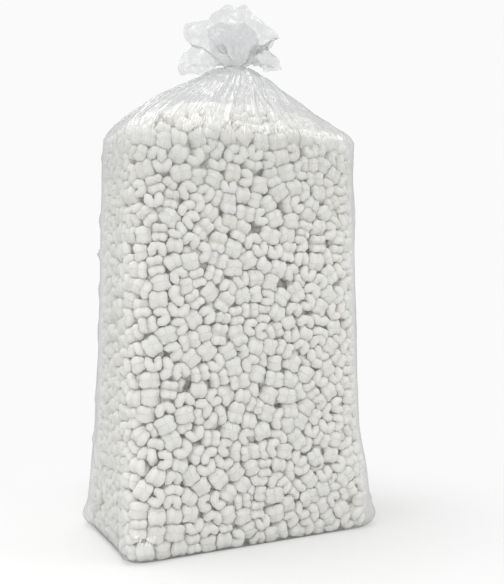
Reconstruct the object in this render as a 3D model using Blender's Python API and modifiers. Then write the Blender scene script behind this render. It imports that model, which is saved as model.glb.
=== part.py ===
"""A clear film bag of loose packing peanuts, standing on its foot and gathered shut at the neck.

The film is one thin shell, from the flat foot up to the ruffled crown. The peanuts inside are one
heap with a pillow for each peanut that faces the film, and single peanuts that lie on its top.
Metres, +Z up, the front of the bag faces -Y. The origin is on the floor under the middle of the bag.
"""

import math
import random

import bmesh
import bpy
import numpy as np
from mathutils import Matrix, Vector
from mathutils.bvhtree import BVHTree

# Driving dimensions in metres.
BAG_WIDTH = 0.432  # across the widest part, just above the foot
BAG_DEPTH = 0.240
SHOULDER_HEIGHT = 0.640
ROOF_HEIGHT = 0.124  # of the gathered roof, from the shoulder up to the neck
NECK_RADIUS = 0.012
NECK_SHIFT = 0.010  # how far the neck stands to the right of the bag's middle
CROWN_LENGTH = 0.112  # film beyond the neck, measured along its longest ruffle
FILM_WALL = 0.0008
FILM_GAP = 0.0025  # from the film to the peanuts that face it
SEAT_GAP = 0.0003  # from one resting piece to the next
EAR_REACH = 0.009  # how far the folded gusset corners stick out at the foot
PLEAT_HEIGHT = 0.0065  # of the gathers on the roof
HEADROOM = 0.098  # from the top of the heap, under the single peanuts, up to the neck
PEANUT_LENGTH = 0.031
PEANUT_WIDTH = 0.026
PEANUT_THICKNESS = 0.012
LOOSE_SPACING = 0.033  # from one single peanut on the heap to the next
PILLOW_SIZE = 0.0385  # one pillow of the heap, drawn a little larger than a peanut
PILLOW_EDGE = 0.0080  # width of its sloping edge
PILLOW_RELIEF = 0.008  # depth of the grooves between pillows
PILLOW_SHIFT = 0.26  # how far their corners are out of line, as a share of their size

# Each row is (share of the shoulder height, share of the half width and half depth).
BODY_ROWS = (
    (0.000, 0.955),
    (0.008, 0.988),
    (0.030, 1.000),
    (0.080, 1.000),
    (0.150, 0.993),
    (0.280, 0.980),
    (0.500, 0.957),
    (0.945, 0.928),
    (1.000, 0.916),
)
# Each row is (share of the way from shoulder to neck, share of the half width and half depth).
ROOF_ROWS = (
    (0.110, 0.880),
    (0.250, 0.815),
    (0.400, 0.725),
    (0.550, 0.605),
    (0.700, 0.460),
    (0.820, 0.325),
    (0.905, 0.210),
    (0.962, 0.120),
)
# Each ruffle is (degrees round from +X, degrees above level, share of the crown length).
CROWN_RUFFLES = (
    (-46, -2, 0.78),
    (-12, 40, 0.84),
    (26, 60, 0.94),
    (64, 84, 1.00),
    (104, 66, 0.94),
    (142, 42, 1.00),
    (178, 2, 0.84),
    (214, 34, 0.74),
    (250, 76, 0.92),
    (286, 58, 0.80),
)
CROWN_DROOP = -5.0  # the lowest that a ruffle hangs, in degrees above level
CROWN_START = 84.0  # degrees above level at which the film leaves the neck
CROWN_PLEAT = 13.0  # degrees by which the rim's small pleats swing up and down
NOTCH_DROP = 9.0  # degrees by which the film sinks between two ruffles
NOTCH_SHARE = 0.14  # by how much the film is shorter there
CROWN_ROWS = (0.10, 0.26, 0.46, 0.68, 0.86, 1.00)
PLEATS = 12
COLUMNS = 4 * PLEATS
PLEAT_UNEVEN = 0.35  # how much the pleats differ in strength
PLEAT_FADE = 0.85  # how much of their height they lose where the neck squeezes them
EAR_START = 0.62  # nearness to the corner, from 0 to 1, at which the ears begin
EAR_FULL = 0.80  # and at which they reach full length
EAR_LEVEL = 0.030  # height of their middle, as a share of the shoulder height
EAR_FADE = 0.028  # how fast they fade above and below it, as the same share
CORNER_COLUMN = 4  # of the columns in each quarter of the outline, the one at the corner
BODY_SQUARENESS = 5.0  # exponent of the body's rounded outline; 2 is an ellipse
FOOT_SQUARENESS = 13.0  # the corners are nearly sharp at the foot
FOOT_SHARE = 0.28  # share of the shoulder height over which they round off
LOOSE_PEANUTS = 12
WAYS_TO_LIE = 8  # tried for each single peanut
HEAP_GIRTH = 0.86  # the rounded heap's way round, as a share of the square bag's
TINY = 1e-5
SHARP_ANGLE = 60  # degrees; folds in the shading above this show as creases
NECK_HEIGHT = SHOULDER_HEIGHT + ROOF_HEIGHT
HEAP_HEIGHT = NECK_HEIGHT - HEADROOM
SEED = 5


def clear_scene():
    for thing in list(bpy.data.objects):
        bpy.data.objects.remove(thing)


def make_material(name, colour, roughness, alpha=1.0):
    material = bpy.data.materials.new(name)
    material.use_nodes = True
    shader = material.node_tree.nodes["Principled BSDF"]
    shader.inputs["Base Color"].default_value = (*colour, 1.0)
    shader.inputs["Roughness"].default_value = roughness
    shader.inputs["Metallic"].default_value = 0.0
    shader.inputs["Alpha"].default_value = alpha
    return material


def make_object(name, mesh, material, collection):
    mesh.materials.append(material)
    mesh.shade_smooth()
    mesh.set_sharp_from_angle(angle=math.radians(SHARP_ANGLE))
    thing = bpy.data.objects.new(name, mesh)
    collection.objects.link(thing)
    return thing


def loft(bm, rings, cap_start=True, cap_end=True):
    """Joins rings of equally many points with quads and closes the ends with flat faces."""
    rows = [[bm.verts.new(point) for point in ring] for ring in rings]
    for lower, upper in zip(rows, rows[1:]):
        for k in range(len(lower)):
            after = (k + 1) % len(lower)
            bm.faces.new((lower[k], lower[after], upper[after], upper[k]))
    if cap_start:
        bm.faces.new(rows[0][::-1])
    if cap_end:
        bm.faces.new(rows[-1])


def smooth_step(value):
    value = min(max(value, 0.0), 1.0)
    return value * value * (3.0 - 2.0 * value)


def roof_share(height):
    """How far this height is on the way from the shoulder to the neck."""
    return (height - SHOULDER_HEIGHT) / ROOF_HEIGHT


def reach_at(height):
    """Share of the half width and half depth that the filled bag has at this height."""
    heights = [share * SHOULDER_HEIGHT for share, _ in BODY_ROWS]
    reaches = [reach for _, reach in BODY_ROWS]
    heights += [SHOULDER_HEIGHT + share * ROOF_HEIGHT for share, _ in ROOF_ROWS]
    reaches += [reach for _, reach in ROOF_ROWS]
    heights.append(NECK_HEIGHT)
    reaches.append(2 * NECK_RADIUS / BAG_WIDTH)
    return float(np.interp(height, heights, reaches))


def squareness_at(height):
    roof = 1.0 - smooth_step(roof_share(height))
    foot = 1.0 - smooth_step(height / (FOOT_SHARE * SHOULDER_HEIGHT))
    body = 2.0 + (BODY_SQUARENESS - 2.0) * roof
    return body + (FOOT_SQUARENESS - BODY_SQUARENESS) * foot


def shift_at(height):
    return NECK_SHIFT * smooth_step(roof_share(height))


def half_depth_at(height):
    """Half the depth at full reach; it turns into half the width at the round neck."""
    blend = smooth_step((roof_share(height) - 0.5) / 0.5)
    return (BAG_DEPTH * (1.0 - blend) + BAG_WIDTH * blend) / 2


def quarter_outline(height):
    """(x, y) points of the first quarter of the rounded outline, one for each column."""
    half_width = reach_at(height) * BAG_WIDTH / 2
    half_depth = reach_at(height) * half_depth_at(height)
    power = 2.0 / squareness_at(height)
    angle = np.linspace(0.0, math.pi / 2, 801)
    x = half_width * np.clip(np.cos(angle), 0.0, 1.0) ** power
    y = half_depth * np.sin(angle) ** power
    walked = np.concatenate([[0.0], np.cumsum(np.hypot(np.diff(x), np.diff(y)))])
    # One column follows the corner up to the shoulder; at the neck they are evenly spaced.
    count = COLUMNS // 4
    even = CORNER_COLUMN / count
    corner = walked[len(walked) // 2] / walked[-1]
    corner += (even - corner) * smooth_step(roof_share(height))
    shares = np.interp(np.arange(count), (0, CORNER_COLUMN, count), (0.0, corner, 1.0))
    stops = shares * walked[-1]
    return np.stack([np.interp(stops, walked, x), np.interp(stops, walked, y)], axis=1)


def outline(height):
    """(x, y) points round the bag's rounded outline at this height, from +X."""
    first = quarter_outline(height)
    top = [0.0, reach_at(height) * half_depth_at(height)]
    second = np.concatenate([[top], first[:0:-1] * (-1, 1)])
    half = np.concatenate([first, second])
    return np.concatenate([half, -half])


def ear_at(x, y, height):
    """How far a folded gusset corner sticks out here."""
    corner = abs(x / BAG_WIDTH * 2) * abs(y / BAG_DEPTH * 2)
    nearness = smooth_step((corner - EAR_START) / (EAR_FULL - EAR_START))
    level = (height / SHOULDER_HEIGHT - EAR_LEVEL) / EAR_FADE
    return EAR_REACH * nearness * math.exp(-level * level)


def pleat_at(column, height):
    """How far the gathers stand out of the roof; each gather has its own strength."""
    share = roof_share(height)
    if share <= 0.0:
        return 0.0
    strength = 1.0 - PLEAT_UNEVEN * (1.0 - math.cos(2.1 * (column // 4)))
    grown = smooth_step(share / 0.35)
    faded = PLEAT_FADE * smooth_step((share - 0.6) / 0.4)
    return PLEAT_HEIGHT * strength * grown * (1.0 - faded) * math.cos(column * math.tau / 4)


def film_ring(height):
    ring = []
    for column, (x, y) in enumerate(outline(height)):
        away = Vector((x, y, 0.0)).normalized()
        push = ear_at(x, y, height) + pleat_at(column, height)
        ring.append(Vector((x + shift_at(height), y, height)) + away * push)
    return ring


def crown_direction(angle):
    """(degrees above level, length) of the crown's film in this direction."""
    ruffles = sorted(((turn % 360, rise, share) for turn, rise, share in CROWN_RUFFLES))
    ruffles.append((ruffles[0][0] + 360, *ruffles[0][1:]))
    degrees = math.degrees(angle) % 360
    if degrees < ruffles[0][0]:
        degrees += 360
    for before, after in zip(ruffles, ruffles[1:]):
        if before[0] <= degrees <= after[0]:
            break
    way = (degrees - before[0]) / (after[0] - before[0])
    mix = smooth_step(way)
    notch = 0.5 - 0.5 * math.cos(way * math.tau)
    rise = before[1] * (1 - mix) + after[1] * mix - NOTCH_DROP * notch
    length = CROWN_LENGTH * (before[2] * (1 - mix) + after[2] * mix)
    return max(rise, CROWN_DROOP), length * (1.0 - NOTCH_SHARE * notch)


def crown_ring(share):
    """One ring of the ruffled crown; share is 0 at the neck and 1 at the rim."""
    ring = []
    for column in range(COLUMNS):
        angle = column * math.tau / COLUMNS
        rise, length = crown_direction(angle)
        rise += CROWN_PLEAT * share * math.cos(column * math.tau / 4)
        # The film leaves the neck upwards and bends over to the ruffle's own direction.
        rise = CROWN_START + (rise - CROWN_START) * smooth_step(0.35 + 0.9 * share)
        out = NECK_RADIUS + share * length * math.cos(math.radians(rise))
        up = share * length * math.sin(math.radians(rise))
        x = NECK_SHIFT + out * math.cos(angle)
        y = out * math.sin(angle)
        ring.append(Vector((x, y, NECK_HEIGHT + up)))
    return ring


def make_film(material, collection):
    heights = [share * SHOULDER_HEIGHT for share, _ in BODY_ROWS]
    heights += [SHOULDER_HEIGHT + share * ROOF_HEIGHT for share, _ in ROOF_ROWS]
    heights.append(NECK_HEIGHT)
    rings = [film_ring(height) for height in heights]
    rings += [crown_ring(share) for share in CROWN_ROWS]
    bm = bmesh.new()
    loft(bm, rings, cap_end=False)
    mesh = bpy.data.meshes.new("bag_film")
    bm.to_mesh(mesh)
    bm.free()
    film = make_object("bag_film", mesh, material, collection)
    wall = film.modifiers.new("film wall", "SOLIDIFY")
    wall.thickness = FILM_WALL
    wall.offset = -1.0
    return film


def cut_into_cells(bm, axis, count):
    """Cuts the 2 m cube of bm into count slices along one axis."""
    normal = [0.0, 0.0, 0.0]
    normal[axis] = 1.0
    for k in range(1, count):
        place = [0.0, 0.0, 0.0]
        place[axis] = -1.0 + 2.0 * k / count
        everything = bm.verts[:] + bm.edges[:] + bm.faces[:]
        bmesh.ops.bisect_plane(bm, geom=everything, plane_co=place, plane_no=normal)


def heap_top(share):
    """Height of the heap's top surface; share is 0 in the middle and 1 at the edge."""
    edge = heap_edge()
    return edge + (HEAP_HEIGHT - edge) * (1.0 - share**4)


def heap_edge():
    return SHOULDER_HEIGHT - 0.4 * PEANUT_LENGTH


def evened(value):
    """Spreads the cube's cells so that those near the bag's rounded corners are no narrower."""
    return value * (0.8 + 0.2 * value * value)


def heap_point(p, q, r):
    """Where a point of the cube from -1 to 1 lies on the heap inside the bag."""
    p, q = evened(p), evened(q)
    share = max(abs(p), abs(q), TINY)
    foot = FILM_WALL + SEAT_GAP
    height = foot + (heap_edge() - foot) * (r + 1.0) / 2
    inset = FILM_WALL + FILM_GAP + PILLOW_RELIEF
    half_width = reach_at(height) * BAG_WIDTH / 2 - inset
    half_depth = reach_at(height) * BAG_DEPTH / 2 - inset
    power = squareness_at(height)
    side_p, side_q = p / share, q / share
    scale = share * (abs(side_p) ** power + abs(side_q) ** power) ** (-1.0 / power)
    x = half_width * side_p * scale
    y = half_depth * side_q * scale
    if r > 1.0 - TINY:
        height = heap_top(share)
    return Vector((x, y, height))


def out_of_line(cube, counts, rng):
    """A corner between cells, moved within the cube's faces so that the cells lie at angles."""
    free = [axis for axis in range(3) if abs(cube[axis]) < 1.0 - TINY]
    if cube[2] < -1.0 + TINY:
        return cube
    moved = list(cube)
    for axis in free:
        rows = [round((cube[other] + 1.0) / 2 * counts[other]) for other in free if other != axis]
        side = -1.0 if sum(rows) % 2 else 1.0
        moved[axis] += side * rng.uniform(0.0, PILLOW_SHIFT) * 2.0 / counts[axis]
    return moved


def make_heap(material, collection):
    rng = random.Random(SEED)
    walls = 2 * (BAG_WIDTH + BAG_DEPTH) * HEAP_GIRTH
    across = max(4, round(walls / PILLOW_SIZE / 2 * BAG_WIDTH / (BAG_WIDTH + BAG_DEPTH)))
    deep = max(3, round(walls / PILLOW_SIZE / 2 * BAG_DEPTH / (BAG_WIDTH + BAG_DEPTH)))
    tall = max(4, round(heap_edge() / PILLOW_SIZE))
    counts = (across, deep, tall)
    bm = bmesh.new()
    bmesh.ops.create_cube(bm, size=2.0)
    for axis, count in enumerate(counts):
        cut_into_cells(bm, axis, count)
    foot_faces = [face for face in bm.faces if face.normal.z < -0.9]
    bmesh.ops.dissolve_faces(bm, faces=foot_faces, use_verts=False)
    for vert in bm.verts:
        vert.co = heap_point(*out_of_line(tuple(vert.co), counts, rng))
    bm.normal_update()
    for face in [face for face in bm.faces if len(face.verts) == 4]:
        bmesh.ops.inset_individual(
            bm,
            faces=[face],
            thickness=PILLOW_EDGE * rng.uniform(0.8, 1.1),
            depth=PILLOW_RELIEF * rng.uniform(0.7, 1.0),
            use_even_offset=True,
        )
    mesh = bpy.data.meshes.new("peanut_heap")
    bm.to_mesh(mesh)
    bm.free()
    return make_object("peanut_heap", mesh, material, collection)


def peanut_outline(shrink):
    """(x, y) points of the hooked outline of a peanut, made smaller all round by shrink."""
    outer = PEANUT_LENGTH / 2 - shrink
    inner = PEANUT_LENGTH / 2 - PEANUT_THICKNESS + shrink
    middle = (outer + inner) / 2
    opening = math.radians(62)
    tip = opening - (PEANUT_THICKNESS / 2 - shrink) / middle
    points = []
    for k in range(7):
        turn = opening + (math.tau - 2 * opening) * k / 6
        points.append((outer * math.cos(turn), outer * math.sin(turn)))
    points.append((middle * math.cos(tip), -middle * math.sin(tip)))
    for k in range(4):
        turn = math.tau - opening - (math.tau - 2 * opening) * k / 3
        points.append((inner * math.cos(turn), inner * math.sin(turn)))
    points.append((middle * math.cos(tip), middle * math.sin(tip)))
    return points


def make_peanut_mesh(material):
    """One peanut: a hook with round edges and a shallow groove about its middle."""
    edge = 0.18 * PEANUT_THICKNESS
    groove = 0.08 * PEANUT_THICKNESS
    half = PEANUT_WIDTH / 2
    stations = ((-half, edge), (-0.76 * half, 0.0), (0.0, groove), (0.76 * half, 0.0), (half, edge))
    rings = []
    for place, shrink in stations:
        rings.append([Vector((x, y, place)) for x, y in peanut_outline(shrink)])
    bm = bmesh.new()
    loft(bm, rings)
    mesh = bpy.data.meshes.new("peanut")
    bm.to_mesh(mesh)
    bm.free()
    mesh.materials.append(material)
    mesh.shade_smooth()
    return mesh


def surface_of(thing, graph):
    """(points, faces) of the finished surface of an object, in world space."""
    finished = thing.evaluated_get(graph)
    mesh = finished.to_mesh()
    mesh.calc_loop_triangles()
    points = [thing.matrix_world @ vert.co for vert in mesh.vertices]
    faces = [tuple(triangle.vertices) for triangle in mesh.loop_triangles]
    finished.to_mesh_clear()
    return points, faces


def moved_tree(points, faces, placing):
    return BVHTree.FromPolygons([placing @ point for point in points], faces)


def settle(points, faces, turn, x, y, grounds):
    """The placing at which a piece that comes straight down lies just clear of all the grounds."""

    def touches(height):
        tree = moved_tree(points, faces, Matrix.Translation((x, y, height)) @ turn)
        return any(tree.overlap(ground) for ground in grounds)

    high = HEAP_HEIGHT + 3 * PEANUT_LENGTH
    low = high
    step = PEANUT_THICKNESS / 8
    while not touches(low) and low > 0.0:
        high = low
        low -= step
    for _ in range(8):
        middle = (low + high) / 2
        if touches(middle):
            low = middle
        else:
            high = middle
    return Matrix.Translation((x, y, high + SEAT_GAP)) @ turn


def make_loose_peanuts(heap, material, collection):
    """Single peanuts on the heap, in the headspace under the gathered film."""
    graph = bpy.context.evaluated_depsgraph_get()
    grounds = [BVHTree.FromPolygons(*surface_of(heap, graph))]
    mesh = make_peanut_mesh(material)
    mesh.calc_loop_triangles()
    points = [vert.co.copy() for vert in mesh.vertices]
    faces = [tuple(triangle.vertices) for triangle in mesh.loop_triangles]
    rng = random.Random(SEED + 1)
    golden = math.pi * (3.0 - math.sqrt(5.0))
    stretch = math.sqrt(BAG_WIDTH / BAG_DEPTH)
    for k in range(LOOSE_PEANUTS):
        # A sunflower pattern, drawn out along the width of the bag.
        spread = LOOSE_SPACING * math.sqrt((k + 0.4) / math.pi)
        x = NECK_SHIFT / 2 + spread * stretch * math.cos(k * golden)
        y = spread / stretch * math.sin(k * golden)
        # Of a few ways to lie, each peanut takes the one that brings it lowest.
        ways = []
        for _ in range(WAYS_TO_LIE):
            turn = Matrix.Rotation(rng.uniform(0.0, math.tau), 4, "Z")
            if rng.random() < 0.5:
                turn = turn @ Matrix.Rotation(math.radians(90), 4, "X")
            ways.append(settle(points, faces, turn, x, y, grounds))
        placing = min(ways, key=lambda way: way.translation.z)
        peanut = bpy.data.objects.new(f"peanut_{k + 1:02d}", mesh)
        peanut.matrix_world = placing
        collection.objects.link(peanut)
        grounds.append(moved_tree(points, faces, placing))


def move_to_origin(film, collection):
    """Moves every piece so that the origin is under the middle of the bag's overall size."""
    graph = bpy.context.evaluated_depsgraph_get()
    points, _ = surface_of(film, graph)
    middle_x = (min(p.x for p in points) + max(p.x for p in points)) / 2
    middle_y = (min(p.y for p in points) + max(p.y for p in points)) / 2
    for thing in collection.objects:
        thing.location.x -= middle_x
        thing.location.y -= middle_y


def main():
    clear_scene()
    collection = bpy.data.collections.new("packing_peanut_bag")
    bpy.context.scene.collection.children.link(collection)
    clear_film = make_material("clear_film", (0.86, 0.88, 0.89), 0.12, alpha=0.22)
    foam = make_material("peanut_foam", (0.86, 0.855, 0.83), 0.75)
    film = make_film(clear_film, collection)
    heap = make_heap(foam, collection)
    bpy.context.view_layer.update()
    make_loose_peanuts(heap, foam, collection)
    move_to_origin(film, collection)


main()
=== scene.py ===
# %% [markdown]
# # A clear bag of packing peanuts
#
# The object is a tall bag of thin clear film, filled with loose foam packing peanuts. It stands on a
# flat foot with folded corners, narrows over the heap of peanuts, and is squeezed shut at a short
# neck, above which the free end of the film spreads as a crumpled ruffle.
#
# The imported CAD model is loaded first. It is the frame that gives every size and place. The film and
# the peanuts are soft or loose goods, so each plain CAD solid is replaced by a detailed piece.

# %% Load the frame
import math

import bmesh
import bpy
import numpy as np
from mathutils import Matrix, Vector, noise


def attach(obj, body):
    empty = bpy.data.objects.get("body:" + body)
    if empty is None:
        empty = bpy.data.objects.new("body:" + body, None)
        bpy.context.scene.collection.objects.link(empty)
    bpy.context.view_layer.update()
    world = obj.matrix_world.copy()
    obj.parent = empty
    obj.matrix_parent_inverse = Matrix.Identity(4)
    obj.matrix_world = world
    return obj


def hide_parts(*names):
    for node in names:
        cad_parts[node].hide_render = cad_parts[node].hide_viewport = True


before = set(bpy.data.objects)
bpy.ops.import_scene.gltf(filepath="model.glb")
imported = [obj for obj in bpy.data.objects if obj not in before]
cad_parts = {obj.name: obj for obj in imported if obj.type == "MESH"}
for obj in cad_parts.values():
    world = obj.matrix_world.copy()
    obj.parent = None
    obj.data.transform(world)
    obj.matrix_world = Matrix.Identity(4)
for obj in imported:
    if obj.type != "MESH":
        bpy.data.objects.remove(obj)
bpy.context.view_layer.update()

print("frame nodes:", len(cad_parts))

# %% [markdown]
# ## Small helpers
#
# Blender's operators act on whatever is selected, and the loaded frame is selected after import. So
# one helper clears the selection, and one picks corners, edges or faces in edit mode by a test.
# Colours are written as hex numbers, as in a paint program, and turned to linear light by one function.


# %% Helpers
def deselect_all():
    if bpy.context.object and bpy.context.object.mode != "OBJECT":
        bpy.ops.object.mode_set(mode="OBJECT")
    bpy.ops.object.select_all(action="DESELECT")


def pick(piece, kind, wanted):
    """In edit mode, selects just the items of a kind for which wanted(item) is true."""
    bpy.ops.mesh.select_mode(type=kind)
    bpy.ops.mesh.select_all(action="DESELECT")
    bm = bmesh.from_edit_mesh(piece.data)
    for item in {"VERT": bm.verts, "EDGE": bm.edges, "FACE": bm.faces}[kind]:
        item.select_set(wanted(item))
    bm.select_flush(True)
    bmesh.update_edit_mesh(piece.data)


def linear(hex_colour):
    """An sRGB hex colour as linear red, green, blue and a full alpha."""
    values = [int(hex_colour[k : k + 2], 16) / 255 for k in (1, 3, 5)]
    light = [v / 12.92 if v <= 0.04045 else ((v + 0.055) / 1.055) ** 2.4 for v in values]
    return (*light, 1.0)


def count_triangles(piece):
    return sum(len(face.vertices) - 2 for face in piece.data.polygons)


# %% [markdown]
# ## The bag's outline
#
# Both the film and the peanuts follow one shape: at every height the bag has a rounded oblong
# outline, which turns into a circle at the neck. These sizes repeat the CAD source's, in metres.

# %% Sizes and outline
BAG_WIDTH = 0.432
BAG_DEPTH = 0.240
SHOULDER_HEIGHT = 0.640
ROOF_HEIGHT = 0.124
NECK_HEIGHT = SHOULDER_HEIGHT + ROOF_HEIGHT
NECK_RADIUS = 0.012
NECK_SHIFT = 0.010
EAR_REACH = 0.009
BODY_SQUARENESS = 5.0  # exponent of the rounded outline; 2 is an ellipse
FOOT_SQUARENESS = 13.0  # the corners are nearly sharp at the foot
FOOT_SHARE = 0.28  # share of the shoulder height over which they round off
# Each row is (share of the shoulder height, share of the half width and half depth).
BODY_ROWS = (
    (0.000, 0.955),
    (0.008, 0.988),
    (0.030, 1.000),
    (0.080, 1.000),
    (0.150, 0.993),
    (0.280, 0.980),
    (0.500, 0.957),
    (0.945, 0.928),
    (1.000, 0.916),
)
# Each row is (share of the way from shoulder to neck, share of the half width and half depth).
ROOF_ROWS = (
    (0.110, 0.880),
    (0.250, 0.815),
    (0.400, 0.725),
    (0.550, 0.605),
    (0.700, 0.460),
    (0.820, 0.325),
    (0.905, 0.210),
    (0.962, 0.120),
)
ROW_HEIGHTS = np.array(
    [share * SHOULDER_HEIGHT for share, _ in BODY_ROWS]
    + [SHOULDER_HEIGHT + share * ROOF_HEIGHT for share, _ in ROOF_ROWS]
    + [NECK_HEIGHT]
)
ROW_REACHES = np.array(
    [reach for _, reach in BODY_ROWS]
    + [reach for _, reach in ROOF_ROWS]
    + [2 * NECK_RADIUS / BAG_WIDTH]
)


def smooth_step(value):
    value = np.clip(value, 0.0, 1.0)
    return value * value * (3.0 - 2.0 * value)


def roof_share(height):
    """How far a height is on the way from the shoulder to the neck."""
    return (height - SHOULDER_HEIGHT) / ROOF_HEIGHT


def half_sizes(height):
    """(half width, half depth, exponent) of the outline at a height."""
    reach = np.interp(height, ROW_HEIGHTS, ROW_REACHES)
    blend = smooth_step((roof_share(height) - 0.5) / 0.5)
    half_depth = reach * (BAG_DEPTH * (1.0 - blend) + BAG_WIDTH * blend) / 2
    foot = 1.0 - smooth_step(height / (FOOT_SHARE * SHOULDER_HEIGHT))
    power = 2.0 + (BODY_SQUARENESS - 2.0) * (1.0 - smooth_step(roof_share(height)))
    power = power + (FOOT_SQUARENESS - BODY_SQUARENESS) * foot
    return reach * BAG_WIDTH / 2, half_depth, power


print("outline at the shoulder:", [round(float(v), 3) for v in half_sizes(SHOULDER_HEIGHT)])

# %% [markdown]
# ## One packing peanut
#
# A real packing peanut is a short length of foam tube that is slit and curls open, so from the end it
# is a hook, and from the side a rounded block with grooves. It could be carved from a cylinder, but a
# rounded section spun part of a turn gives the curl with very few faces, which counts, because there
# are well over a thousand of them. Three curls are made: tight, open and nearly flat.

# %% One peanut's sizes
PEANUT_THICKNESS = 0.0148
PEANUT_WIDTH = 0.0266
CORNER_CUT = 0.0045
GROOVE_DEPTH = 0.0018
CROSS_GROOVE_DEPTH = 0.7 * GROOVE_DEPTH
END_INSET, END_RISE = 0.0029, 0.0031  # of the small face that rounds each cut end
SPIN_STEPS = 6
# Each curl is (radius of its middle line, degrees round).
CURLS = ((0.0082, 248), (0.0095, 200), (0.0125, 132))
ROUNDING_START, ROUNDING_LENGTH = 0.45, 0.65  # in half curls, from the curl's middle
END_NARROWING, END_THINNING = 0.20, 0.10
CROSS_PINCH = 0.95  # width left at the cross groove


# %% Spin a curl
def spin_curl(radius, degrees):
    """A rounded oblong section spun part of a turn round Z, as (points, faces)."""
    deselect_all()
    bpy.ops.mesh.primitive_plane_add(size=1.0, location=(radius, 0, 0), rotation=(math.pi / 2, 0, 0))
    curl = bpy.context.object
    curl.scale = (PEANUT_THICKNESS, PEANUT_WIDTH, 1.0)
    bpy.ops.object.transform_apply(location=True, rotation=True, scale=True)
    bpy.ops.object.mode_set(mode="EDIT")
    bpy.ops.mesh.select_all(action="SELECT")
    bpy.ops.mesh.bevel(affect="VERTICES", offset=CORNER_CUT, segments=1)
    # The long outer edge is halved, and its middle point pulled in, for the groove along the back.
    half = PEANUT_WIDTH / 2
    pick(curl, "EDGE", lambda edge: edge.calc_length() > half and edge.verts[0].co.x > radius)
    bpy.ops.mesh.subdivide(number_cuts=1)
    pick(curl, "VERT", lambda vert: abs(vert.co.z) < 0.001)
    bpy.ops.transform.translate(value=(-GROOVE_DEPTH, 0, 0))
    bpy.ops.mesh.select_mode(type="EDGE")
    bpy.ops.mesh.select_all(action="SELECT")
    bpy.ops.mesh.spin(
        steps=SPIN_STEPS, angle=math.radians(degrees), center=(0, 0, 0), axis=(0, 0, 1)
    )
    bpy.ops.mesh.select_all(action="SELECT")
    bpy.ops.mesh.normals_make_consistent(inside=False)
    # The two ends are rounded by a small inset that stands proud.
    pick(curl, "FACE", lambda face: len(face.verts) > 4)
    bpy.ops.mesh.inset(thickness=END_INSET, depth=END_RISE, use_individual=True)
    bpy.ops.object.mode_set(mode="OBJECT")
    points = np.array([vert.co for vert in curl.data.vertices])
    faces = [tuple(face.vertices) for face in curl.data.polygons]
    bpy.data.objects.remove(curl)
    return points, faces


# %% Round the curls
def round_curl(points, radius, degrees):
    """The curl turned so that its middle faces +X, with slimmer ends and a groove across."""
    outer = points[:, :2][np.hypot(points[:, 0], points[:, 1]) > radius]
    middle = outer.mean(0) / np.linalg.norm(outer.mean(0))
    turned = points.copy()
    turned[:, 0] = points[:, 0] * middle[0] + points[:, 1] * middle[1]
    turned[:, 1] = points[:, 1] * middle[0] - points[:, 0] * middle[1]
    reach = np.hypot(turned[:, 0], turned[:, 1])
    # It narrows towards both ends, which rounds its corners as seen from the back.
    off_middle = np.abs(np.arctan2(turned[:, 1], turned[:, 0])) / math.radians(degrees / 2)
    narrow = smooth_step((off_middle - ROUNDING_START) / ROUNDING_LENGTH)
    turned[:, 2] *= 1.0 - END_NARROWING * narrow
    turned[:, :2] *= (1.0 + END_THINNING * narrow * (radius - reach) / reach)[:, None]
    at_middle = (off_middle < 0.05) & (reach > radius)
    turned[at_middle, :2] *= ((reach[at_middle] - CROSS_GROOVE_DEPTH) / reach[at_middle])[:, None]
    turned[at_middle, 2] *= CROSS_PINCH
    return turned


curl_meshes = []
for radius, degrees in CURLS:
    points, faces = spin_curl(radius, degrees)
    points = round_curl(points, radius, degrees)
    curl_meshes.append((points, faces))
    print("curl:", len(faces), "faces,", 1000 * (points.max(0) - points.min(0)).round(4), "mm")

# %% [markdown]
# ## Packing the peanuts
#
# In the real bag the peanuts tumble in until they jam, and the outer ones are pressed flat on the
# film: some show their curled end, some their ribbed back and some the slit. Copies on a grid would
# look like a wall of tiles, and a full rigid body simulation of closed hooks is slow. So each peanut
# stands in for a few linked balls, and a short relaxation pushes overlapping balls apart, keeps them
# between two walls, and gives each peanut the rigid place and turn that fits its balls best. There are
# two layers, one against the film and one behind it. It comes out the same each run.

# %% Where peanuts may be
BALL_RADIUS = 0.0073
FILM_CLEARANCE = 0.0008
SIDE_SLACK = 0.003  # how much further the film hangs off the peanuts at the two narrow sides
PRESS = 0.0004  # how far the outer layer is pressed towards the film at each step
PRESS_REACH = 0.020  # balls that are deeper than this behind the skin aren't pressed
FLOOR_REACH = 0.012  # balls that are higher than this over the floor aren't pressed on it
LEAST_HALF = 0.004  # least half size of an inset outline
MOUND_TOP = 0.702
MOUND_EDGE = 0.642
MOUND_SPREAD = 0.92  # share of the bag's half sizes at which the mound reaches its edge
MOUND_SQUARENESS = 3.0
MOUND_FLATNESS = 2.8  # the higher, the flatter the mound is at its top


def wall_distance(points, inset):
    """(distance outside the outline that lies inset within the bag's, outward x, outward y)."""
    half_width, half_depth, power = half_sizes(points[:, 2])
    half_width = np.maximum(half_width - inset, LEAST_HALF)
    half_depth = np.maximum(half_depth - inset, LEAST_HALF)
    x, y = points[:, 0] / half_width, points[:, 1] / half_depth
    across, deep = np.abs(x) + 1e-9, np.abs(y) + 1e-9
    level = (across**power + deep**power) ** (1.0 / power)
    slope_x = np.sign(x) * (across / level) ** (power - 1) / half_width
    slope_y = np.sign(y) * (deep / level) ** (power - 1) / half_depth
    slope = np.hypot(slope_x, slope_y) + 1e-9
    return (level - 1.0) / slope, slope_x / slope, slope_y / slope


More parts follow.
